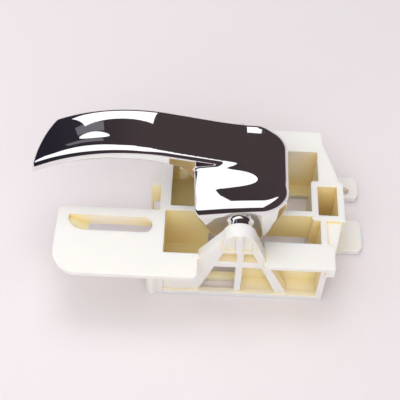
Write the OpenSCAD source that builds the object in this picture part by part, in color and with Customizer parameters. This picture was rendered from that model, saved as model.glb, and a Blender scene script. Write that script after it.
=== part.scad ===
// Interior door handle: a chromed pull lever on a one-piece moulded bracket.
// Millimetres, +Z up. The drawing's x = 0 is the lever's axis, y = 0 is the front
// face of the bracket's foot and z = 0 is its underside. The last lines move the
// whole handle so that the middle of its outline lies over the origin.

/* [Pivot] */
// Height of the lever's axis above the underside
pivot_z = 40; // [39:0.5:43]
// Diameter of the hinge pin
pin_d = 5; // [4:0.1:5.6]
// Length of pin held in the front bearing
pin_seat = 4; // [2.5:0.1:4.2]
// Diameter and thickness of the pin's head
pin_head = [8, 1.5];
// Running clearance round the pin, on the radius
fit_gap = 0.05; // [0.03:0.01:0.09]
// Clearance between the lever and each bearing tower
side_gap = 0.4; // [0.3:0.05:0.6]

/* [Bracket frame] */
// Height of the deck above the underside
frame_h = 27; // [25:0.5:28]
// Thickness of the deck and its flanges
deck_t = 2.2; // [1.6:0.1:3]
// Thickness of the frame's walls
wall_t = 2.6; // [2:0.1:3.2]
// Outside of the left wall, from the axis
frame_left = 33.4; // [31:0.1:36]
// Outside of the right wall, from the axis
frame_right = 37.5; // [36:0.1:39]
// Inside face of the rear wall, from the foot's front face
rear_y = 60.5; // [60:0.1:64]
// Width of the rear flange
flange_w = 11.8; // [9:0.1:14]
// Inside width of the left wall's top flange
left_flange = 1.9; // [1:0.1:3]
// Front face of the cross wall that divides the frame
cross_y = 25; // [23.5:0.1:27]
// Lower edge of the cross wall, in the left bay and in the right bay
cross_z = [0, 11];
// Height and width of the rail along the foot
rail = [3, 2.4];
// Width of the floor strip along the rear wall, in the left bay and beside it
rear_floor = [16, 6];

/* [Left plate] */
// Reach of the plate to the left of the axis
plate_left = 76.2; // [70:0.1:84]
// Reach of the plate ahead of the foot
plate_front = 8.2; // [6:0.1:12]
// Right end of the plate, left of the axis
plate_right = 16.5; // [15:0.1:18]
// Radius of the plate's front corner
plate_round = 11; // [6:0.1:14]
// Length and width of the slot in the plate
slot_size = [35.4, 7.7];
// Gap between the slot and the plate's left edge
slot_edge = 4.8; // [3:0.1:8]
// Length and thickness of the ramp that leads into the slot's left end
slot_ramp = [7, 3];
// Front edge of the slot, behind the foot's front face
slot_y = 13; // [11:0.1:15]
// Radius of the slot's front left corner, and of its right corners
slot_round = [6.8, 3.5];
// Depth of the wall behind the slot
slot_wall = 6.5; // [4:0.1:9]
// Diameter of the locating peg under the plate
peg_d = 5.5; // [4:0.1:6.5]
// Depth that the peg is sunk into the frame's corner
peg_sink = 0.7; // [0.4:0.1:1.5]

/* [Front shelf] */
// Left and right ends of the shelf, from the axis
shelf_x = [11, 40.3];
// Reach of the shelf ahead of the foot
shelf_front = 1.4; // [0.6:0.1:3]
// Back edge of the shelf
shelf_back = 11; // [8.5:0.1:13]
// Depth of the skirt under the shelf's right end
skirt_h = 5.8; // [3:0.1:8]
// Step down from the deck to the flange beside the right wall
side_step = 1; // [0.5:0.1:2]

/* [Bearing towers] */
// Radius of the front bearing's dome
dome_r = 6.6; // [5.8:0.1:7.4]
// Front face and thickness of the front tower
tower_y = [1, 5];
// Thickness of the web that closes the back of the front tower
tower_web = 1.4; // [1:0.1:2]
// Radius of the rear bearing
rear_dome_r = 5; // [4.5:0.1:5.4]
// Gap between the rear tower's front face and the rear wall, and its thickness
rear_tower = [4.5, 3];
// Half width of the front tower at the foot, on the left and on the right
tower_foot = [21.5, 23.5];
// The same for the rear tower
rear_foot = [18.5, 18.5];
// Left sides of the two braces behind the rear tower, and their thickness
rear_brace = [-12, 10, 2];
// Width of the tower's middle rib
mid_rib = 2.8; // [2:0.1:3.5]
// Width of the tower's right leg
leg_w = 4.8; // [3.5:0.1:6]
// Top and height of the beam across the front tower
beam = [25.6, 3.8];

/* [Pocket, post and tongues] */
// Outer size of the rectangular pocket
pocket_size = [14, 21];
// Thickness of the pocket's walls
pocket_wall = 2.8; // [2:0.1:3.5]
// Pocket's left side from the axis, and front side from the foot
pocket_at = [31.5, 23];
// Thickness of the fixing tongues
tongue_t = 3.5; // [2.5:0.1:5]
// Right end of the tongues, from the axis
tongue_x = 56.8; // [54:0.1:60]
// Widths of the front and rear tongues
tongue_w = [16.5, 11.8];
// Front edges of the front and rear tongues
tongue_y = [24.2, 53.5];
// Diameter of the screw hole in the rear tongue
screw_d = 4.4; // [3.5:0.1:5]
// Distance from that hole to the tongue's end
screw_edge = 6.5; // [5:0.1:8]
// Size of the post on the left wall
post_size = [5.2, 4];
// Front face of that post
post_y = 38; // [34:0.1:42]

/* [Lever arm] */
// Front face of the arm, from the foot's front face
arm_front = 31.7; // [29:0.1:33]
// Height of the arm's crown above the hub's top
arm_rise = 6.3; // [5:0.1:8]
// Crown's place to the left of the axis
crown_x = 44.7; // [40:0.1:50]
// Radius of the arm's top line
arm_r = 75; // [70:0.5:90]
// Thickness of the arm at its crown
arm_t = 6.1; // [5:0.1:7]
// Radius of the arm's lower line
under_r = 70; // [66:0.5:80]
// Shift of the lower line towards the tip, so that the arm thins out there
under_shift = 3.2; // [1:0.1:5]
// Reach of the tip to the left of the axis
tip_x = 87.3; // [80:0.1:92]
// Radius of the rounded tip, seen from above
tip_r = 38; // [28:0.5:60]
// Edge rounds along the arm's front and back
arm_round = [3, 3.4];
// Reach of the arm behind the hub's back face
arm_back = 0.5; // [0.3:0.1:2]
// Slope of the straight run from the arm's top down to the hub's top, in degrees
sweep_tilt = 10.3; // [9:0.1:12]
// Thickness of that run
sweep_t = 4; // [3:0.1:5]
// Radius of the hollow where the arm's underside meets the hub
armpit_r = 6; // [3:0.1:8]

/* [Lever hub] */
// Height of the hub's top above the axis
hub_rise = 11.3; // [10.5:0.1:12.5]
// Front face of the hub
hub_front = 10.7; // [9.5:0.1:12.5]
// Reach of the hub to the left and right of the axis
hub_x = [20.5, 20];
// Radius of the hub's round underside
drum_r = 14.4; // [13:0.1:15.5]
// Corner radii at the front right and back right, seen from above
hub_corner = [12, 12.5];
// Edge rounds on the hub's top at the front, back and right
hub_round = [2.6, 3.5, 5];
// Depth of the sloping face's low corner below the hub's top
facet_drop = 6.4; // [4.5:0.1:8]
// Slope of that face towards the front and towards the left, in degrees
facet_tilt = [7.5, 11.3];
// Wall of the hollow hub
hub_wall = 2.8; // [2:0.1:3.5]
// Outer radius of the pin bosses
boss_r = 4.3; // [4:0.1:4.6]
// Length of the pin bosses inside the hub
boss_len = [10.5, 9];

/* [Cable arm] */
// Width of the arm that hangs down to the cable
cable_w = 8; // [6:0.1:10]
// Lowest point of that arm
cable_z = 8; // [7:0.1:12]
// Left reach of that arm's root from the axis, and its depth below the axis
cable_root = [8.6, 7.2];
// Diameter of the hole for the cable's end
eye_d = 4; // [3:0.1:5]
// Full travel of the lever in degrees
swing = 40; // [30:1:40]
// Gap left between the lever and its stops
stop_gap = 0.3; // [0.2:0.05:0.4]
// Diameter and thickness of the rubber stop
buffer_size = [7, 3];

/* [Return spring] */
// Wire diameter
wire_d = 1.2; // [0.9:0.1:1.4]
// Mean radius of the coil
coil_r = 5.2; // [4.6:0.1:5.8]
// Full turns, before the last half turn to the leg
turns = 6; // [4:1:8]
// Distance from one turn to the next
pitch = 1.6; // [1.5:0.05:1.9]
// Length of the leg that stands in the cross wall
leg_len = 21; // [20:0.1:23]

/* [Hidden] */
$fn = 64;
eps = 0.01;
far = 200;
lap = 1;
small_r = 2;
rim = 1;

rear_out = rear_y + wall_t;
rear_tower_y = rear_y - rear_tower[0];
rear_tower_out = rear_tower_y + rear_tower[1];
flange_y = rear_y + flange_w;
deck_z = frame_h - deck_t;
pocket_r = 1.2;
tongue_r = 3;
post_z = 15;
post_foot = 4;
post_wall = 0.7;
rib_t = 2.2;
rib_shift = 1;
strip_w = 3;
strip_step = 0.4;
bay_right = -12;

hub_back = rear_tower_y - side_gap;
hub_top = pivot_z + hub_rise;
facet_z = hub_top - facet_drop;
arm_crown = hub_top + arm_rise;
hub_inner = [hub_front + hub_wall, hub_back - hub_wall];
nose_y = tower_y[0] + tower_y[1] + side_gap;
bore_d = pin_d + 2 * fit_gap;
pin_y = [tower_y[0] + tower_y[1] - pin_seat, rear_tower_out];

arm_z = arm_crown - arm_r;
under = [-crown_x - under_shift, arm_crown - arm_t - under_r];
sweep_dip = 0.25;
sweep_inset = 0.3;
sweep_x = -crown_x + arm_r * sin(sweep_tilt);
sweep_z = arm_z + arm_r * cos(sweep_tilt) - sweep_dip;
sweep_run = [4, (sweep_z - hub_top) / sin(sweep_tilt) + 4];
arm_a = [62, 132];
pit_x = -hub_x[0] - armpit_r;
pit_lift = 0.15;
pit_z = under[1] + sqrt(pow(under_r - armpit_r, 2) - pow(pit_x - under[0], 2)) + pit_lift;

drum_a = [28, 10];
cheek_h = 3;
hub_edge_r = 1.2;
groove = [0.9, 4];
clip_d = 9;
clip_t = 0.7;
clip_y = hub_back - boss_len[1] - side_gap - clip_t;
coil_y = cross_y + 1.5;
drum_gap = 1.2;
notch_z = pivot_z - drum_r - drum_gap / 2;
notch_w = 2 * (drum_r + drum_gap + lap);
leg_slot = wire_d + 0.6;
window_y = [6, 2];
stop_y = [49.5, rear_y + eps];
far_stop_z = [17, frame_h - 2];
far_stop_t = 2.4;
stop_t = 3;
stop_rim = 1.5;
cable_t = 4;
eye_z = cable_z + eye_d * 0.9;
eye_drop = pivot_z - eye_z;
arm_lean = atan((cable_root[0] - cable_w / 2) / (eye_drop - cable_root[1]));
edge_off = (cable_w / 2 + tan(arm_lean) * eye_drop) * cos(arm_lean);
leg_up_len = hub_top - hub_wall - stop_gap - pivot_z;

mid_x = (tongue_x - tip_x) / 2;
mid_y = (flange_y - plate_front) / 2;

// Helpers

// A flat drawing in x and z, made solid from y0 to y1.
module along_y(y0, y1) {
    translate([0, y1, 0]) rotate([90, 0, 0]) linear_extrude(y1 - y0) children();
}

// A flat drawing in y and z, made solid from x0 to x1.
module along_x(x0, x1) {
    translate([x0, 0, 0]) rotate([90, 0, 90]) linear_extrude(x1 - x0) children();
}

// A flat drawing in x and y, made solid from z0 to z1.
module along_z(z0, z1) {
    translate([0, 0, z0]) linear_extrude(z1 - z0) children();
}

// A cross-section in radius and y, swept about the line x, z between two angles.
module arc_bar(x, z, a0, a1) {
    translate([x, 0, z]) rotate([90, -a0, 0])
        rotate_extrude(angle = a1 - a0, $fn = 128) mirror([0, 1]) children();
}

// What a round takes off a square corner whose point is at the origin.
module corner_off(r) {
    difference() {
        translate([-1, -1]) square(r + 1);
        translate([r, r]) circle(r);
    }
}

// A rectangle from corner a to corner b, with its own radius at each corner:
// lower left, lower right, upper right, upper left.
module plate(a, b, r = [0, 0, 0, 0]) {
    corners = [a, [b[0], a[1]], b, [a[0], b[1]]];
    difference() {
        translate(a) square(b - a);
        for (i = [0:3])
            if (r[i] > 0)
                translate(corners[i]) rotate(90 * i) corner_off(r[i]);
    }
}

// A box from corner a to corner b.
module block(a, b) {
    translate(a) cube(b - a);
}

// A round bar along y.
module bar_y(r, y0, y1, x = 0, z = pivot_z) {
    translate([x, y1, z]) rotate([90, 0, 0]) cylinder(r = r, h = y1 - y0);
}

// Bracket

// The left plate seen from above, with its rounded front corners and its slot.
module left_plate_outline() {
    slot_x = -plate_left + slot_edge;
    difference() {
        plate([-plate_left, -plate_front], [-plate_right, cross_y + eps],
              [plate_round, small_r, 0, small_r]);
        plate([slot_x, slot_y], [slot_x + slot_size[0], slot_y + slot_size[1]],
              [slot_round[0], slot_round[1], slot_round[1], 0.5]);
        front_left_opening();
    }
}

// The space between the left wall, the cross wall and the front tower.
module front_left_opening() {
    plate([wall_t - frame_left, tower_y[0] + wall_t], [0, cross_y]);
}

// The whole deck seen from above.
module deck_outline() {
    left_plate_outline();
    plate([shelf_x[0], -shelf_front], [shelf_x[1], shelf_back], [0, small_r, small_r, 0]);
    plate([-frame_left, cross_y], [pocket_at[0] + lap, cross_y + wall_t]);
    plate([-frame_left, cross_y], [wall_t + left_flange - frame_left, rear_out]);
    plate([-frame_left, rear_y], [frame_right, flange_y], [0, 0, small_r, small_r]);
    plate([frame_right - wall_t, shelf_back - lap], [frame_right, pocket_at[1] + lap]);
    corner_flange_outline();
}

// The flange beside the right wall, a step lower than the deck.
module side_flange() {
    inner = frame_right - lap;
    outer = pocket_at[0] + pocket_size[0] - side_step;
    front = shelf_back / 2;
    along_z(deck_z - side_step, frame_h - side_step)
        polygon([[inner, front], [shelf_x[1], front],
                 [outer, pocket_at[1] + lap], [inner, pocket_at[1] + lap]]);
}

// The slanting flange between the rear wall and the pocket.
module corner_flange_outline() {
    inner = frame_right - wall_t;
    outer = pocket_at[0] + pocket_size[0] - small_r;
    back = pocket_at[1] + pocket_size[1];
    polygon([[inner, rear_out], [inner + lap, back - lap], [outer, back - lap],
             [outer, back + deck_t], [frame_right - small_r, flange_y], [inner, flange_y]]);
}

// The slot's back wall, and a ramp that leads into its left end.
module slot_walls() {
    back = slot_y + slot_size[1];
    left = -plate_left + slot_edge;
    start = left - slot_ramp[1] + lap;
    block([left, back, frame_h - slot_wall],
          [left + slot_size[0], back + deck_t, frame_h - eps]);
    along_y(slot_y - eps, back + deck_t)
        polygon([[start, deck_z + eps], [start + slot_ramp[1], deck_z + eps],
                 [start + slot_ramp[0] + slot_ramp[1], frame_h - slot_wall],
                 [start + slot_ramp[0], frame_h - slot_wall]]);
}

// The upright walls, the rail along the foot and the floor strips.
module walls() {
    inner = frame_right - wall_t;
    block([-frame_left, 0, 0], [wall_t - frame_left, rear_out, frame_h - eps]);
    block([-frame_left, rear_y, 0], [frame_right, rear_out, frame_h - eps]);
    block([inner, 0, 0], [frame_right, pocket_at[1] + lap, frame_h - eps]);
    block([inner, pocket_at[1] + pocket_size[1] - lap, 0], [frame_right, rear_out, frame_h - eps]);
    block([-frame_left, tower_y[0], 0], [lap - plate_right, tower_y[0] + wall_t, frame_h - eps]);
    block([-frame_left, 0, 0], [frame_right, rail[1], rail[0]]);
    floor_z = rail[0] - 0.5;
    strip_back = shelf_back - strip_step;
    cross_back = cross_y + wall_t;
    block([-frame_left, rear_y - rear_floor[1], 0], [frame_right, rear_y + eps, floor_z]);
    block([-frame_left, rear_y - rear_floor[0], 0], [bay_right, rear_y, floor_z]);
    block([-frame_left, strip_back - strip_w, 0], [mid_rib, strip_back, rail[0]]);
    block([-frame_left, strip_back - lap, 0], [bay_right, cross_back, floor_z]);
    block([0, shelf_back - rib_t, 0], [frame_right, shelf_back, beam[0] - beam[1]]);
    block([shelf_x[0], shelf_back - rib_t, rail[0]], [frame_right, shelf_back, frame_h - eps]);
    block([lap, 0, 0], [frame_right, shelf_back, floor_z]);
    block([-frame_left, cross_y, cross_z[0]], [bay_right, cross_back, frame_h - eps]);
    block([bay_right - eps, cross_y, cross_z[1]], [pocket_at[0] + lap, cross_back, frame_h - eps]);
}

// Three gussets under the rear flange.
module flange_gussets() {
    for (x = [-frame_left, (frame_right - frame_left) / 2, frame_right - wall_t])
        along_x(x, x + wall_t)
            polygon([[rear_out - eps, deck_z + eps], [flange_y - small_r, deck_z + eps],
                     [rear_out - eps, frame_h / 3]]);
}

// The front tower: a dome that takes the pin, on two legs with a middle rib.
module front_tower() {
    y0 = tower_y[0];
    y1 = y0 + tower_y[1];
    sill = pivot_z - dome_r + strip_step;
    top = [dome_r, pivot_z + lap];
    difference() {
        along_y(y0, y1) {
            translate([0, pivot_z]) circle(dome_r);
            polygon([[-top[0], top[1]], [-plate_right + 0.5, frame_h], [-tower_foot[0], 0],
                     [tower_foot[1], 0], [shelf_x[0] + 0.6, frame_h], [top[0], top[1]]]);
        }
        tower_windows(y0 - 1, y1 + 1, [-1, beam[0] - beam[1]]);
        tower_windows(y0 - 1, y1 - tower_web, [beam[0], sill]);
    }
    block([-mid_rib / 2 + rib_shift, y0, 0], [mid_rib / 2 + rib_shift, y1, sill + lap]);
    dome_front(sill);
}

// The openings between the tower's legs, from one height to another.
module tower_windows(y0, y1, z) {
    slope = [for (i = [0, 1]) (tower_foot[i] - leg_w - dome_r + 1) / (pivot_z - dome_r)];
    half = [for (h = z) [for (i = [0, 1]) dome_r - 1 + slope[i] * (pivot_z - dome_r - h)]];
    along_y(y0, y1)
        polygon([[-half[0][0], z[0]], [half[0][1], z[0]], [half[1][1], z[1]], [-half[1][0], z[1]]]);
}

// The raised rim and middle rib on the dome's front face.
module dome_front(sill) {
    y0 = tower_y[0] - rim;
    along_y(y0, tower_y[0] + eps) {
        difference() {
            union() {
                translate([0, pivot_z]) circle(dome_r);
                plate([-dome_r, sill], [dome_r, pivot_z]);
            }
            translate([0, pivot_z]) circle(dome_r - rim);
            plate([rim - dome_r, sill + rim], [dome_r - rim, pivot_z]);
        }
        plate([-mid_rib / 2, sill], [mid_rib / 2, pivot_z + dome_r - rim / 2]);
    }
}

// The rear tower, fused to the rear wall below the deck and braced by two gussets.
module rear_tower() {
    brace_t = rear_brace[2];
    window_z = rail[0] + lap;
    along_y(rear_tower_y, rear_tower_out) difference() {
        union() {
            translate([0, pivot_z]) circle(rear_dome_r);
            polygon([[-rear_dome_r, pivot_z], [-rear_foot[0], 0], [rear_foot[1], 0],
                     [rear_dome_r, pivot_z]]);
        }
        polygon([[-cable_w / 2, pivot_z / 2], [-rear_foot[0] / 2, window_z],
                 [cable_w / 2, window_z], [cable_w / 2 - lap, pivot_z / 2]]);
    }
    for (i = [0, 1])
        block([rear_brace[i], rear_tower_out - eps, 0],
              [rear_brace[i] + brace_t, rear_y + eps, frame_h - eps]);
    for (x = [-rear_dome_r - lap - brace_t, rear_dome_r + lap])
        along_x(x, x + brace_t)
            polygon([[rear_tower_y, pivot_z - rear_dome_r - wall_t], [flange_y - wall_t, frame_h - eps],
                     [rear_tower_y, frame_h - eps]]);
}

// How far left of the axis the cable arm's edge stands at full travel, at height z.
function far_face(z) = (edge_off + stop_gap + (pivot_z - z) * sin(swing - arm_lean))
    / cos(swing - arm_lean);

// The stop that holds the rubber buffer, and the plain stop at full travel.
module stops() {
    x0 = cable_w / 2 + stop_gap + buffer_size[1];
    z0 = buffer_z() - buffer_size[0] / 2 - stop_rim;
    difference() {
        block([x0, stop_y[0], z0], [x0 + stop_t, stop_y[1], z0 + buffer_size[0] + 2 * stop_rim]);
        translate([x0 - eps, buffer_y(), buffer_z()]) rotate([0, 90, 0])
            cylinder(d = stem_d() + 2 * fit_gap, h = stop_t + 2 * eps);
    }
    low = far_face(far_stop_z[0]);
    high = far_face(far_stop_z[1]);
    along_y(stop_y[0], stop_y[1])
        polygon([[-high, far_stop_z[1]], [-low, far_stop_z[0]],
                 [-low - far_stop_t, far_stop_z[0]], [-low - far_stop_t, far_stop_z[1]]]);
}

// The rubber buffer's centre and stem, shared by the stop's hole.
function buffer_y() = hub_back - cable_t / 2;
function buffer_z() = cable_z + lap + stop_rim + buffer_size[0] / 2;
function stem_d() = buffer_size[0] * 0.45;

// The rectangular pocket, open top and bottom.
module pocket() {
    a = pocket_at;
    b = a + pocket_size;
    w = pocket_wall;
    along_z(0, frame_h) difference() {
        plate(a, b, [pocket_r, pocket_r / 2, pocket_r, pocket_r]);
        plate(a + [w, w], b - [w, w]);
    }
}

// Two tongues reach out at the foot's level: the front one from the pocket's right
// wall, and the rear one, which takes a screw, from the frame.
module tongues() {
    start = [pocket_at[0] + pocket_size[0] - pocket_wall / 2, frame_right - eps];
    for (i = [0, 1])
        along_z(0, tongue_t)
            plate([start[i], tongue_y[i]], [tongue_x, tongue_y[i] + tongue_w[i]],
                  [0, tongue_r, tongue_r, 0]);
}

// The locating peg under the plate, sunk into the corner of the frame.
module peg() {
    along_z(0, frame_h - eps)
        translate([peg_sink - frame_left - peg_d / 2, tower_y[0] + peg_sink]) circle(d = peg_d);
}

// The guide post on the left wall, with a window near its foot.
module post() {
    x0 = -frame_left - post_size[0] + post_wall;
    difference() {
        block([x0, post_y, 0], [-frame_left + eps, post_y + post_size[1], frame_h]);
        block([x0 + post_wall, post_y - lap, post_foot],
              [-frame_left - post_wall / 2, post_y + far, post_z]);
    }
}

// Everything that is cut from the finished moulding.
module bracket_cuts() {
    tower_back = tower_y[0] + tower_y[1];
    cross_back = cross_y + wall_t + lap;
    bar_y(bore_d / 2, tower_back - pin_seat - stop_gap, tower_back + lap);
    bar_y(bore_d / 2, rear_tower_y - lap, rear_y + lap);
    bar_y(drum_r + drum_gap, cross_y - lap, cross_back);
    block([-notch_w / 2, cross_y - lap, notch_z], [notch_w / 2, cross_back, far]);
    block([-coil_r - leg_slot / 2, cross_y - lap, pivot_z - leg_len - lap],
          [-coil_r + leg_slot / 2, cross_back, far]);
    translate([tongue_x - screw_edge, tongue_y[1] + tongue_w[1] / 3, -lap])
        cylinder(d = screw_d, h = tongue_t + 2 * lap);
    block([frame_right - wall_t - lap, rear_tower_y - window_y[0], cable_z],
          [frame_right + lap, rear_tower_y + window_y[1], cable_z + cable_w]);
}

module bracket() {
    color("#f3ecd6") difference() {
        union() {
            along_z(deck_z, frame_h) deck_outline();
            slot_walls();
            side_flange();
            walls();
            flange_gussets();
            front_tower();
            rear_tower();
            stops();
            pocket();
            tongues();
            post();
            skirt();
            peg();
        }
        bracket_cuts();
    }
}

// The short skirt under the right end of the shelf.
module skirt() {
    block([frame_right - 0.8, -shelf_front, frame_h - skirt_h],
          [shelf_x[1], -shelf_front + deck_t, frame_h - eps]);
}

// Lever

// The arm: a round-edged bar along its crowned top line, thinned from below by an
// arc of its own and ended by the tip's outline.
module arm() {
    intersection() {
        difference() {
            arc_bar(-crown_x, arm_z, arm_a[0], arm_a[1])
                plate([arm_r - 2 * arm_t, arm_front], [arm_r, hub_back + arm_back],
                      [0, arm_round[0], arm_round[1], 0]);
            under_bar();
        }
        tip_outline();
    }
}

// The round that shapes the arm's underside.
module under_bar() {
    translate([under[0], far, under[1]]) rotate([90, 0, 0])
        cylinder(r = under_r, h = far, $fn = 256);
}

// The straight run that carries the arm's top down to the hub's top. It lies a
// little inside the arm, so that their surfaces cross at an angle.
module sweep() {
    translate([sweep_x, 0, sweep_z]) rotate([0, sweep_tilt, 0])
        along_x(-sweep_run[0], sweep_run[1])
            plate([arm_front + sweep_inset, -sweep_t], [hub_back + arm_back - sweep_inset, 0],
                  [0, 0, arm_round[1], arm_round[0]]);
}

// The arm's outline from above: the tip is one arc, drawn through its far corner.
module tip_outline() {
    centre = [tip_r - tip_x, arm_front - lap];
    along_z(0, far) union() {
        translate(centre) circle(tip_r, $fn = 128);
        translate([centre[0], 0]) square([far, far]);
    }
}

// The hub's side view: a drum about the axis under a flat top, its right edge
// rounded. Inset shrinks it, for the hollow inside.
module hub_side(inset = 0) {
    left = -hub_x[0] + inset;
    right = hub_x[1] - inset;
    top = hub_top - inset;
    r = drum_r - inset;
    translate([0, pivot_z]) circle(r, $fn = 96);
    difference() {
        polygon([[left, top], [left, facet_z],
                 [-r * cos(drum_a[0]), pivot_z - r * sin(drum_a[0])],
                 [r * cos(drum_a[1]), pivot_z - r * sin(drum_a[1])],
                 [right, top - hub_round[2] - cheek_h], [right, top]]);
        translate([right, top]) rotate(180) corner_off(hub_round[2] - inset / 2);
    }
}

// The hub's outline from above.
module hub_plan(inset = 0) {
    plate([-hub_x[0] + inset, hub_front + inset], [hub_x[1] - inset, hub_back - inset],
          [hub_edge_r, hub_corner[0] - inset, hub_corner[1] - inset, 0]);
}

// The outer form of the hub, from its three views.
module hub_form() {
    intersection() {
        along_y(hub_front, hub_back) hub_side();
        along_z(0, far) hub_plan();
        along_x(-far / 2, far / 2)
            plate([hub_front, 0], [hub_back, hub_top], [0, 0, hub_round[1], hub_round[0]]);
    }
}

// The sloping face that is cut from the hub ahead of the arm.
module facet_cut() {
    intersection() {
        translate([-hub_x[0], hub_front, facet_z]) rotate([facet_tilt[0], -facet_tilt[1], 0])
            translate([-far / 2, -far / 2, 0]) cube([far, far, far]);
        block([-far, -far, 0], [far, arm_front, far]);
    }
}

// The fillet under the arm, where it meets the hub's left side.
module armpit() {
    reach = under_r / (under_r - armpit_r);
    touch = under + ([pit_x, pit_z] - under) * reach;
    along_y(arm_front + sweep_inset, hub_back - sweep_inset) difference() {
        polygon([touch, touch + [0, 2], [-hub_x[0] + 2, touch[1] + 2], [-hub_x[0] + 2, pit_z],
                 [-hub_x[0], pit_z]]);
        translate([pit_x, pit_z]) circle(armpit_r);
    }
}

// The hollow inside the hub, open below between its front and back walls.
module hub_hollow() {
    low = pivot_z - drum_r - 1;
    intersection() {
        along_z(0, far) hub_plan(hub_wall);
        difference() {
            along_y(hub_inner[0], hub_inner[1]) {
                hub_side(hub_wall);
                plate([-drum_r + hub_wall, low], [drum_r - hub_wall, pivot_z]);
            }
            translate([0, 0, -hub_wall]) facet_cut();
        }
    }
}

// The arm that hangs from the hub's back wall down to the cable.
module cable_arm() {
    root_z = pivot_z - cable_root[1];
    along_y(hub_back - cable_t, hub_back) difference() {
        union() {
            polygon([[-cable_w / 2, eye_z], [cable_w / 2, eye_z],
                     [cable_w / 2, root_z], [-cable_root[0], root_z]]);
            translate([0, cable_z + cable_w / 2]) circle(d = cable_w);
        }
        translate([0, cable_z + cable_w / 2]) circle(d = eye_d);
    }
}

module lever() {
    color("#c9ccd0") difference() {
        union() {
            difference() {
                hub_form();
                facet_cut();
                hub_hollow();
            }
            arm();
            sweep();
            armpit();
            cable_arm();
            bar_y(boss_r, nose_y, hub_inner[0] + boss_len[0]);
            bar_y(boss_r, hub_back - boss_len[1], hub_back);
        }
        bar_y(bore_d / 2, 0, far);
    }
}

// Pin, clip, spring and buffer

module pivot_pin() {
    color("#8d9196") difference() {
        union() {
            bar_y(pin_d / 2, pin_y[0], pin_y[1] + eps);
            bar_y(pin_head[0] / 2, pin_y[1], pin_y[1] + pin_head[1]);
        }
        difference() {
            bar_y(pin_d, clip_y - (groove[0] - clip_t) / 2, clip_y + (groove[0] + clip_t) / 2);
            bar_y(groove[1] / 2, 0, far);
        }
    }
}

// A retaining ring that snaps into the pin's groove from below.
module pin_clip() {
    bite = groove[1] / 2 + fit_gap;
    color("#5f646b") along_y(clip_y, clip_y + clip_t) translate([0, pivot_z]) difference() {
        circle(d = clip_d);
        circle(bite);
        translate([-bite * 0.8, -clip_d]) square([bite * 1.6, clip_d]);
        for (side = [-1, 1])
            rotate(side * 55) translate([0, bite]) circle(r = 1.1);
    }
}

// The return spring's path: a leg down to the cross wall, the coil, and a leg up
// under the hub's top. One function gives each point from its number.
coil_steps = 20;
coil_count = turns * coil_steps + coil_steps / 2;
function coil_point(i) = let (a = 180 + 360 * i / coil_steps)
    [coil_r * cos(a), coil_y + pitch * i / coil_steps, pivot_z + coil_r * sin(a)];
leg_down = [for (s = [1, 0.5]) [-coil_r, coil_y, pivot_z - s * leg_len]];
leg_up = [for (s = [0.5, 1]) coil_point(coil_count) + [0, 0, s * leg_up_len]];
spring_path = concat(leg_down, [for (i = [0:coil_count]) coil_point(i)], leg_up);

// A ring of points round the wire at one place on the path.
wire_sides = 8;
function unit(v) = v / norm(v);
function heading(path, i) =
    unit(path[min(i + 1, len(path) - 1)] - path[max(i - 1, 0)]);
function wire_ring(path, i) =
    let (t = heading(path, i), u = unit(cross([0, 1, 0], t)), v = cross(t, u))
    [for (k = [0:wire_sides - 1]) let (a = 360 * k / wire_sides)
        path[i] + (u * cos(a) + v * sin(a)) * wire_d / 2];

module return_spring() {
    rings = len(spring_path);
    last = (rings - 1) * wire_sides;
    points = [for (i = [0:rings - 1]) each wire_ring(spring_path, i)];
    sides = [for (i = [0:rings - 2], k = [0:wire_sides - 1])
        let (m = (k + 1) % wire_sides, a = i * wire_sides, b = a + wire_sides)
        [a + k, a + m, b + m, b + k]];
    start_cap = [[for (k = [wire_sides - 1:-1:0]) k]];
    end_cap = [[for (k = [0:wire_sides - 1]) last + k]];
    color("#6c7178") polyhedron(points, concat(sides, start_cap, end_cap));
}

// The rubber stop: a round pad with a stem pushed into the bracket's stop.
module rest_buffer() {
    x0 = cable_w / 2 + stop_gap;
    color("#26272a") translate([x0, buffer_y(), buffer_z()]) rotate([0, 90, 0]) {
        cylinder(d = buffer_size[0], h = buffer_size[1]);
        cylinder(d = stem_d(), h = buffer_size[1] + stop_t);
    }
}

module placed() {
    translate([-mid_x, -mid_y, 0]) children();
}

placed() bracket();
placed() lever();
placed() pivot_pin();
placed() pin_clip();
placed() return_spring();
placed() rest_buffer();
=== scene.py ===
from math import cos, pi, radians, sin, tan

import bpy
import numpy as np
from mathutils import Matrix, Vector


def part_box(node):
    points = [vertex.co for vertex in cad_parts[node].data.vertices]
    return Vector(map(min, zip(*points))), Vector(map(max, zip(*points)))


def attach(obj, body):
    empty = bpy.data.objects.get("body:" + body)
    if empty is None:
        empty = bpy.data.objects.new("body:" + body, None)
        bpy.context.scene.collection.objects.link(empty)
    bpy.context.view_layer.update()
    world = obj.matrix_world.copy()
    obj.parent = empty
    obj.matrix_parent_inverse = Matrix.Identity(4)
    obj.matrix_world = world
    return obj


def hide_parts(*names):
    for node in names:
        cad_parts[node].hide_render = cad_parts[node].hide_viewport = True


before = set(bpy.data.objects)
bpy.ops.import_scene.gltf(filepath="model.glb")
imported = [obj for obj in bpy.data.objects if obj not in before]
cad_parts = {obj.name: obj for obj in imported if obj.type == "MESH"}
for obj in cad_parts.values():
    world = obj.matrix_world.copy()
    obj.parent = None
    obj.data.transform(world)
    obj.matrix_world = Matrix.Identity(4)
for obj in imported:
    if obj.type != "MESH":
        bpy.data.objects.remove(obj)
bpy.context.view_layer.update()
scene = bpy.context.scene
scene.view_settings.view_transform = "Standard"

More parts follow.
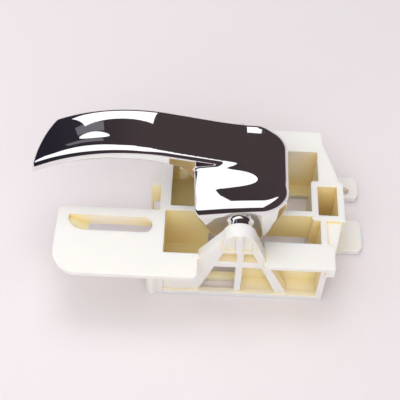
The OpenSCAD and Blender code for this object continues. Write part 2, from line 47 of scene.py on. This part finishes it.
# Camera
# The photograph is taken from the front, 53 degrees above the table, with a long lens.
lever_low, lever_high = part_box("lever")
tip_x, arm_back_y, pivot_z = -87.3, 56.1, 40.0
place = Vector((lever_low[0] * 1000 - tip_x, lever_high[1] * 1000 - arm_back_y, 0))
camera_at, camera_tilt, camera_roll = (-16.5, -205.5, 346.6), radians(36.5), radians(2.6)


def metres(x, y, z):
    """A drawn place in millimetres as a place in metres in the frame."""
    return (Vector((x, y, z)) + place) / 1000


camera = bpy.data.objects.new("camera", bpy.data.cameras.new("camera"))
camera.data.sensor_width, camera.data.lens, camera.data.clip_start = 36, 83.43, 0.01
camera.matrix_world = (
    Matrix.Translation(metres(*camera_at))
    @ Matrix.Rotation(camera_tilt, 4, "X")
    @ Matrix.Rotation(camera_roll, 4, "Z")
)
scene.collection.objects.link(camera)
scene.camera = camera

# Table
# The handle lies loose on a sheet of pale, faintly pink card, which fills the picture.


def node_adder(tree):
    """A function that adds a node to a tree. It takes the node's own settings, the values
    of its inputs and the outputs to link to them, all by name."""

    def add(kind, **settings):
        node = tree.nodes.new("ShaderNode" + kind)
        for key, value in settings.items():
            if hasattr(node, key):
                setattr(node, key, value)
            elif isinstance(value, bpy.types.NodeSocket):
                tree.links.new(value, node.inputs[key.replace("_", " ")])
            else:
                node.inputs[key.replace("_", " ")].default_value = value
        return node

    return add


def new_material(name, **sockets):
    """A material with its shader's sockets set, and functions to add and link nodes."""
    made = bpy.data.materials.new(name)
    made.use_nodes = True
    shader = made.node_tree.nodes["Principled BSDF"]
    for socket, value in sockets.items():
        shader.inputs[socket.replace("_", " ")].default_value = value
    return made, shader, node_adder(made.node_tree), made.node_tree.links.new


def noise(add, scale, detail):
    """Cloudy noise all through a piece, from 0 to 1."""
    where = add("TexCoord").outputs["Object"]
    return add("TexNoise", Scale=scale, Detail=detail, Vector=where).outputs["Fac"]


def two_tones(add, share, first_tone, last_tone, span=(0, 1)):
    """A colour that runs from one tone to the other over a span of the share."""
    ramp = add("ValToRGB", Fac=share)
    first, last = ramp.color_ramp.elements
    first.position, first.color = span[0], (*first_tone, 1)
    last.position, last.color = span[1], (*last_tone, 1)
    return ramp.outputs["Color"]


def mesh_piece(name, corners, faces, material):
    """A smooth mesh piece from corners in metres."""
    mesh = bpy.data.meshes.new(name)
    mesh.from_pydata(corners, [], faces)
    mesh.materials.append(material)
    mesh.polygons.foreach_set("use_smooth", [True] * len(mesh.polygons))
    piece = bpy.data.objects.new(name, mesh)
    scene.collection.objects.link(piece)
    return piece


card, shader, add, link = new_material("pale_card", Roughness=0.7)
fibres = two_tones(
    add, noise(add, 900, 4), (0.79, 0.742, 0.755), (0.81, 0.762, 0.775), (0.3, 0.7)
)
link(fibres, shader.inputs["Base Color"])
card_corners = [(-4, -4, 0), (4, -4, 0), (4, 4, 0), (-4, 4, 0)]
table = mesh_piece("table", card_corners, [(0, 1, 2, 3)], card)

# Lights
# A white ceiling of light hangs over the handle and to its left, and a bank of bright and
# dim soft boxes stands behind on the left, where the chrome shows them. Three fills light
# the nylon and the card but stay out of the chrome, which shows a dark room elsewhere.
handle_middle = (-16, 30, 40)
wall_turn = radians(15)
wall_back = (sin(wall_turn), cos(wall_turn), 0)
white, cool_white = (1, 1, 1), (0.95, 0.92, 1)
left_gloom, right_gloom = (0.022, 0.019, 0.030), (0.064, 0.047, 0.050)


def soft_box(name, at, back, size, glow, shape="RECTANGLE", colour=white, turn=0):
    """A soft box at a place in metres from the handle's middle. It shines away from the
    way that its back points, and its glow is its brightness."""
    lamp = bpy.data.lights.new(name, "AREA")
    lamp.shape, (lamp.size, lamp.size_y) = shape, size
    area = size[0] * size[1] * (pi / 4 if shape == "ELLIPSE" else 1)
    lamp.energy, lamp.color = glow * pi * area, colour
    box = bpy.data.objects.new(name, lamp)
    box.location = metres(*handle_middle) + Vector(at)
    stance = Vector(back).to_track_quat("Z", "Y").to_matrix()
    box.rotation_euler = (stance @ Matrix.Rotation(turn, 3, "Z")).to_euler()
    scene.collection.objects.link(box)
    return box


def on_wall(across, height, away=1.0):
    """A place on an upright plane behind the handle, turned a little to the right."""
    return (
        away * sin(wall_turn) + across * cos(wall_turn),
        away * cos(wall_turn) - across * sin(wall_turn),
        height,
    )


soft_box("ceiling", (-1.07, -0.01, 0.9), (0, 0, 1), (2.67, 1.4), 1.2, turn=radians(-20))
for name, at, size, glow, shape, colour, turn in (
    ("long_box", on_wall(-0.755, 0.865), (1.2, 0.47), 1.3, "RECTANGLE", white, 1.5),
    ("round_box", on_wall(-1.27, 1.40), (0.72, 0.23), 1.3, "ELLIPSE", white, -12),
    ("low_panel", on_wall(-1.3, 1.2, 1.02), (0.62, 0.2), 0.15, "RECTANGLE", cool_white, -10),
    ("high_panel", on_wall(-1.7, 1.62, 1.02), (1.1, 0.26), 0.15, "RECTANGLE", cool_white, -12),
):
    soft_box(name, at, wall_back, size, glow, shape, colour, radians(turn))
for name, at, size, glow in (
    ("front_fill", (0.05, -1.5, 1.2), (2.8, 1.9), 1.65),
    ("right_fill", (1.5, 0.1, 1.0), (1.6, 1.2), 0.4),
    ("back_fill", (0.0, 0.65, 1.3), (1.0, 0.7), 2.7),
):
    soft_box(name, at, Vector(at).normalized(), size, glow).visible_glossy = False
room = bpy.data.worlds.new("room")
room.use_nodes = True
add = node_adder(room.node_tree)
towards = add("SeparateXYZ", Vector=add("TexCoord").outputs["Generated"])
rightness = add("MapRange", Value=towards.outputs["X"], From_Min=-0.75, From_Max=0.0)
gloom = two_tones(add, rightness.outputs["Result"], left_gloom, right_gloom)
room.node_tree.links.new(gloom, room.node_tree.nodes["Background"].inputs["Color"])
scene.world = room

# Bracket
# One moulding of natural nylon with the satin and the softened edges of its mould. It is
# cream, and its wells carry painted light: a honey yellow glow that stands in for light the
# nylon lets through. The colour turns to honey with the shelter of the walls, less so at
# the front and on the tongues.
cream, pale_cream, painted_glow_tone = (0.852, 0.842, 0.815), (0.862, 0.852, 0.828), (0.98, 0.81, 0.44)
open_air, deep_well, reach = 0.9, 0.45, 0.03
front_y, wells_y, front_share = 0, 12, 0.45
tongues_x, frame_x, tongue_share = 48, 44, 0.2
mould_edge = 0.5


def remap(add, value, span, onto=(0, 1)):
    """A value taken from one span onto another, and held at its ends."""
    ends = dict(From_Min=span[0], From_Max=span[1], To_Min=onto[0], To_Max=onto[1])
    return add("MapRange", Value=value, **ends).outputs["Result"]


def finish_node(name, material):
    """Gives a node of the frame a finished material."""
    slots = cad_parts[name].data.materials
    slots.clear()
    slots.append(material)


nylon, shader, add, link = new_material(
    "natural_nylon", Roughness=0.42, Subsurface_Weight=0.6, Subsurface_Scale=0.003
)
shader.inputs["Subsurface Radius"].default_value = (1.0, 0.8, 0.5)
where = add("SeparateXYZ", Vector=add("TexCoord").outputs["Object"])
shelter = add("AmbientOcclusion", samples=8, only_local=True, Distance=reach)
across_front = [(place.y + y) / 1000 for y in (front_y, wells_y)]
along_tongues = [(place.x + x) / 1000 for x in (tongues_x, frame_x)]
# Painted light: the share of honey yellow glow grows with the shelter of the walls, standing
# in for light that the nylon lets into its wells.
painted_glow_share = remap(add, shelter.outputs["AO"], (open_air, deep_well))
for share in (
    remap(add, where.outputs["Y"], across_front, (front_share, 1)),
    remap(add, where.outputs["X"], along_tongues, (tongue_share, 1)),
):
    product = add("Math", operation="MULTIPLY")
    link(painted_glow_share, product.inputs[0])
    link(share, product.inputs[1])
    painted_glow_share = product.outputs["Value"]
# Mixes the cream with the painted honey glow of the wells.
glow = add("Mix", data_type="RGBA", Factor=painted_glow_share)
link(two_tones(add, noise(add, 45, 3), cream, pale_cream), glow.inputs[6])
glow.inputs[7].default_value = (*painted_glow_tone, 1)
link(glow.outputs[2], shader.inputs["Base Color"])
satin = add("Bump", Strength=0.06, Distance=0.0001, Height=noise(add, 1800, 2))
link(satin.outputs["Normal"], shader.inputs["Normal"])
finish_node("bracket", nylon)
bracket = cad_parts["bracket"]
plain = bracket.modifiers.new("plain_faces", "DECIMATE")
plain.decimate_type, plain.angle_limit = "DISSOLVE", radians(0.5)
edges = bracket.modifiers.new("moulded_edges", "BEVEL")
edges.width, edges.segments, edges.use_clamp_overlap = mould_edge / 1000, 2, False
edges.limit_method, edges.angle_limit, edges.harden_normals = "ANGLE", radians(35), True

# Rubber stop
# A moulded rubber pad, matt and near black, whose stem is pushed into the bracket. The
# lever's cable arm rests on it.
rubber, shader, add, link = new_material("matt_rubber", Roughness=0.8)
bloom = two_tones(add, noise(add, 300, 4), (0.018, 0.018, 0.02), (0.035, 0.035, 0.038))
link(bloom, shader.inputs["Base Color"])
finish_node("rest_buffer", rubber)

# Return spring
# A torsion spring wound from oiled steel wire. It sits round the pin inside the hub, with
# one leg in the bracket's cross wall and the other under the hub's top.
spring_steel, shader, add, link = new_material(
    "oiled_spring_steel", Base_Color=(0.30, 0.30, 0.32, 1), Metallic=1.0, Roughness=0.35
)
link(remap(add, noise(add, 250, 3), (0, 1), (0.25, 0.45)), shader.inputs["Roughness"])
finish_node("return_spring", spring_steel)

# Lever
# One chromed casting: a domed arm that tapers to a rounded tip and runs down into a hollow
# hub, two bosses for the pin, and an arm that hangs from the hub's back wall to the cable.
# It is drawn as a field, negative inside, with its edges and corners rounded.
arm_front_y, arm_mid_y, arm_half, arm_end_x = 31.7, 43.9, 12.2, 2
crown_x, crown_z, crown_r = -44.7, 57.6, 75.0
under_x, under_z, under_r = -47.9, -18.5, 70.0
slope = radians(10.3)
turn_x = crown_x + crown_r * sin(slope)
tip_mid, tip_r = (-49.3, 30.9), 38.0
dome_flat, dome_edge, steepest = 0.3, 0.62, 0.85
back_edge, under_edge, tip_edge = 3.0, 0.8, 1.4
front_edge, front_edge_loss, front_edge_run = 2.8, 1.2, (-50, -25)
hub_low, hub_high = (-20.5, 10.7), (20.0, 55.6)
right_back_r, right_front_r, left_back_r, left_front_r = 12.5, 12.0, 1.0, 1.2
hub_top_z, hub_side_z, drum_r = 51.3, 34.0, 14.4
left_cut, left_cut_way = (-12.7, 33.2), (0.882, 0.471)
right_cut, right_cut_way = (14.18, 37.5), (0.744, 0.669)
hub_front_edge, hub_side_edge, hub_back_edge, drum_edge = 4.4, 6.4, 3.4, 1.2
hub_front_run, hub_side_run = (16, 26), (6, 14)
back_drop, back_drop_y, back_drop_run = 0.3, 40, 15.6
face_corner_z, face_rise, face_edge = 44.9, (0.2, 0.132), 1.2
step_h, step_end_x, step_run, step_y, step_half = 2.4, 16.0, 24.0, 25.7, 5.0
hub_wall, hub_fillet = 2.8, 1.2
crook_r, crook_x, crook_z, crook_edge = 6.0, (-34, -18), (41, 50), 1.0
bore_r, boss_r, boss_fillet = 2.55, 4.8, 1.2
front_boss_y, back_boss_y = (6.4, 24.0), (46.6, 55.6)
cable_arm_half, cable_arm_edge, cable_arm_fillet = 4.0, 0.5, 1.0
cable_z, cable_eye_r, cable_arm_flat = 12.0, 2.0, 2.0
lever_from, lever_to = (-89.1, 4.9, 6.1), (22.1, 58.9, 60.1)


def round_and(a, b, r):
    """Both fields, their corner rounded to radius r."""
    inner = np.minimum(-r, np.maximum(a, b))
    return inner + np.hypot(np.maximum(r + a, 0), np.maximum(r + b, 0))


def fillet_or(a, b, r):
    """Either field, their inner corner filled to radius r."""
    outer = np.maximum(r, np.minimum(a, b))
    return outer - np.hypot(np.maximum(r - a, 0), np.maximum(r - b, 0))


def soft_min(a, b, k):
    """The lower of two heights, their crease softened over k."""
    return np.minimum(a, b) - np.maximum(k - np.abs(a - b), 0) ** 2 / (4 * k)


def ease(low, high, v):
    """0 below low and 1 above high, with a smooth run between them."""
    t = np.clip((v - low) / (high - low), 0, 1)
    return t * t * (3 - 2 * t)


def arm_line(x):
    """Height of the arm's top along its middle: an arc, then a straight run down."""
    arc = crown_z - crown_r + np.sqrt(np.maximum(crown_r**2 - (x - crown_x) ** 2, 1))
    line = crown_z - crown_r + crown_r * cos(slope) - (x - turn_x) * tan(slope)
    return np.where(x < turn_x, arc, line)


def hub_plan(x, y, inset=0.0):
    """The hub seen from above, with its own radius at each corner."""
    mid = [(hub_low[i] + hub_high[i]) / 2 for i in (0, 1)]
    half = [(hub_high[i] - hub_low[i]) / 2 - inset for i in (0, 1)]
    right, back = x > mid[0], y > mid[1]
    right_r = np.where(back, right_back_r, right_front_r)
    r = np.where(right, right_r, np.where(back, left_back_r, left_front_r)) - inset * right
    dx, dy = np.abs(x - mid[0]) - half[0] + r, np.abs(y - mid[1]) - half[1] + r
    corner = np.hypot(np.maximum(dx, 0), np.maximum(dy, 0))
    return np.minimum(np.maximum(dx, dy), 0) + corner - r


def hub_side(x, z, inset=0.0):
    """The hub seen from the front: upright sides over a drum round the axis."""
    sides = np.maximum(hub_low[0] + inset - x, x - hub_high[0] + inset)
    left = (left_cut[0] - x) * left_cut_way[0] + (left_cut[1] - z) * left_cut_way[1]
    right = (x - right_cut[0]) * right_cut_way[0] + (right_cut[1] - z) * right_cut_way[1]
    cuts = np.maximum(left, right) + inset
    upper = np.maximum(np.maximum(sides, cuts), hub_side_z - z)
    return np.minimum(upper, np.hypot(x, z - pivot_z) - drum_r + inset)


def hub_top(x, y):
    """Height of the hub's top: the sloping face, and a soft step that ends at the right."""
    face = face_corner_z + face_rise[0] * (x - hub_low[0]) + face_rise[1] * (y - hub_low[1])
    drop = back_drop * np.clip((y - back_drop_y) / back_drop_run, 0, 1) ** 4
    rise = step_h * np.clip((step_end_x - x) / step_run, 0, 1)
    rise *= 1 - ease(step_y - step_half, step_y + step_half, y)
    return soft_min(hub_top_z - drop - rise, face, face_edge)


def pin_bar(x, y, z, r, ends):
    """A round bar on the lever's axis."""
    return np.maximum(np.hypot(x, z - pivot_z) - r, np.maximum(ends[0] - y, y - ends[1]))


def arm_field(x, y, z, under):
    """The domed arm over its curved underside, down to where it enters the hub."""
    across = (y - arm_mid_y) / arm_half
    line = arm_line(x) - (dome_flat * across**2 + dome_edge * across**4)
    tilt = np.where(x < turn_x, np.abs(x - crown_x) / crown_r, sin(slope))
    top = (z - line) * np.sqrt(1 - np.minimum(tilt, steepest) ** 2)
    front = front_edge - front_edge_loss * ease(*front_edge_run, x)
    edge = np.where(across < 0, front, back_edge)
    arm = round_and(top, np.maximum(arm_front_y - y, y - arm_back_y), edge)
    arm = round_and(arm, np.maximum((under - z) * 0.95, x - arm_end_x), under_edge)
    tip = np.where(x < tip_mid[0], np.hypot(x - tip_mid[0], y - tip_mid[1]), 0) - tip_r
    return round_and(arm, tip, tip_edge)


def hub_field(x, y, z):
    """The hub, hollow from below, with its edge rounder at the right."""
    roof = hub_top(x, y)
    front = 1 - ease(*hub_front_run, y)
    side = ease(*hub_side_run, x) * (1 - front)
    r = hub_front_edge * front + hub_side_edge * side + hub_back_edge * (1 - front - side)
    hub = round_and(z - roof, hub_plan(x, y), r)
    hub = round_and(hub, hub_side(x, z), drum_edge)
    inner = np.maximum(hub_plan(x, y, hub_wall), z - roof + hub_wall)
    well = np.minimum(
        hub_side(x, z, hub_wall), np.maximum(np.abs(x) - drum_r + hub_wall, z - pivot_z)
    )
    return np.maximum(hub, -np.maximum(inner, well))


def crook_field(x, y, z, under):
    """The curve in which the arm's underside turns down the hub's left wall."""
    crook = fillet_or(under - z, hub_low[0] - x, crook_r)
    ends = np.maximum(crook_x[0] - x, x - crook_x[1])
    crook = np.maximum(crook, np.maximum(np.maximum(z - crook_z[1], crook_z[0] - z), ends))
    return round_and(crook, np.maximum(arm_front_y - y, y - hub_high[1]), crook_edge)


def cable_arm_field(x, y, z):
    """The flat arm that hangs down to the eye for the cable's end."""
    stem = np.where(z < cable_z, np.hypot(x, z - cable_z), np.abs(x)) - cable_arm_half
    stem = np.maximum(stem, z - hub_side_z)
    stem = np.maximum(stem, -(np.hypot(x, z - cable_z) - cable_eye_r))
    flat = np.abs(y - hub_high[1] + cable_arm_flat) - cable_arm_flat
    return round_and(stem, flat, cable_arm_edge)


def lever_field(p):
    """The whole casting, with the pin's bore through it."""
    x, y, z = p[:, 0], p[:, 1], p[:, 2]
    under = np.sqrt(np.maximum(under_r**2 - (x - under_x) ** 2, 1)) + under_z
    body = fillet_or(arm_field(x, y, z, under), hub_field(x, y, z), hub_fillet)
    body = np.minimum(body, crook_field(x, y, z, under))
    body = fillet_or(body, pin_bar(x, y, z, boss_r, front_boss_y), boss_fillet)
    body = np.minimum(body, pin_bar(x, y, z, boss_r, back_boss_y))
    body = fillet_or(body, cable_arm_field(x, y, z), cable_arm_fillet)
    return np.maximum(body, -(np.hypot(x, z - pivot_z) - bore_r))


def skin(field, low, high, pitch):
    """Corners and four-sided faces of a field's surface, with the way out at each corner.
    Each grid cell that it crosses gets one corner, which is drawn onto it in four rounds."""
    size = [int((high[i] - low[i]) / pitch) + 2 for i in range(3)]
    axes = [low[i] + pitch * np.arange(size[i]) for i in range(3)]
    grid = np.stack(np.meshgrid(*axes, indexing="ij"), -1).reshape(-1, 3)
    value = field(grid).reshape(size)
    inside = value < 0
    ends = [slice(0, -1), slice(1, None)]
    total = sum(
        inside[ends[i], ends[j], ends[k]].astype(int)
        for i in (0, 1) for j in (0, 1) for k in (0, 1)
    )
    crossed = (total > 0) & (total < 8)
    number = -np.ones(crossed.shape, int)
    number[crossed] = np.arange(crossed.sum())
    cells = np.argwhere(crossed)
    points, count = np.zeros((len(cells), 3)), np.zeros(len(cells))
    for axis in range(3):
        others = [a for a in range(3) if a != axis]
        for i in (0, 1):
            for j in (0, 1):
                start = cells.copy()
                start[:, others[0]] += i
                start[:, others[1]] += j
                end = start.copy()
                end[:, axis] += 1
                a, b = value[tuple(start.T)], value[tuple(end.T)]
                hit = (a < 0) != (b < 0)
                part = np.where(hit, a / np.where(hit, a - b, 1), 0)
                spot = start + 0.0
                spot[:, axis] += part
                points[hit] += spot[hit]
                count[hit] += 1
    points = np.array(low) + pitch * points / count[:, None]

    def way_out(p, h=0.04):
        """The field's slope at each point, over twice h."""
        shifts = h * np.eye(3)
        return np.stack([field(p + s) - field(p - s) for s in shifts], -1) / (2 * h)

    for _ in range(4):
        g = way_out(points)
        move = field(points)[:, None] * g / np.maximum((g * g).sum(1), 0.2)[:, None]
        points -= np.clip(move, -pitch * 0.4, pitch * 0.4)
    g = way_out(points)
    g /= np.maximum(np.linalg.norm(g, axis=1), 1e-9)[:, None]
    faces = []
    for axis in range(3):
        u, v = (axis + 1) % 3, (axis + 2) % 3
        ahead, back = [slice(None)] * 3, [slice(None)] * 3
        ahead[axis], back[axis] = slice(1, None), slice(0, -1)
        flips = inside[tuple(back)] != inside[tuple(ahead)]
        spots = np.argwhere(flips)
        spots = spots[(spots[:, u] > 0) & (spots[:, v] > 0)]
        quad = []
        for du, dv in ((1, 1), (0, 1), (0, 0), (1, 0)):
            cell = spots.copy()
            cell[:, u] -= du
            cell[:, v] -= dv
            quad.append(number[tuple(cell.T)])
        quad = np.stack(quad, 1)
        outward = inside[tuple(back)][tuple(spots.T)]
        quad[~outward] = quad[~outward][:, ::-1]
        faces.append(quad)
    return points, np.concatenate(faces), g


chrome, shader, add, link = new_material(
    "chrome_plating", Base_Color=(0.86, 0.86, 0.87, 1), Metallic=1.0, Roughness=0.03
)
haze = remap(add, noise(add, 60, 3), (0.35, 0.75), (0.015, 0.045))
link(haze, shader.inputs["Roughness"])
pitch = 0.5
corners, faces, outward = skin(lever_field, lever_from, lever_to, pitch)
lever = mesh_piece(
    "lever_casting", [tuple(metres(*c)) for c in corners], faces.tolist(), chrome
)
lever.data.normals_split_custom_set_from_vertices(outward.tolist())
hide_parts("lever")
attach(lever, "lever_body")

# Hinge pin and its clip
# A ground steel pin is pushed from the back through both towers and the hub, and a ring
# of spring steel snapped into its groove keeps it in.
steel, shader, add, link = new_material(
    "ground_steel", Base_Color=(0.55, 0.56, 0.58, 1), Metallic=1.0, Roughness=0.25
)
link(remap(add, noise(add, 400, 2), (0, 1), (0.18, 0.34)), shader.inputs["Roughness"])
finish_node("pivot_pin", steel)
finish_node("pin_clip", spring_steel)
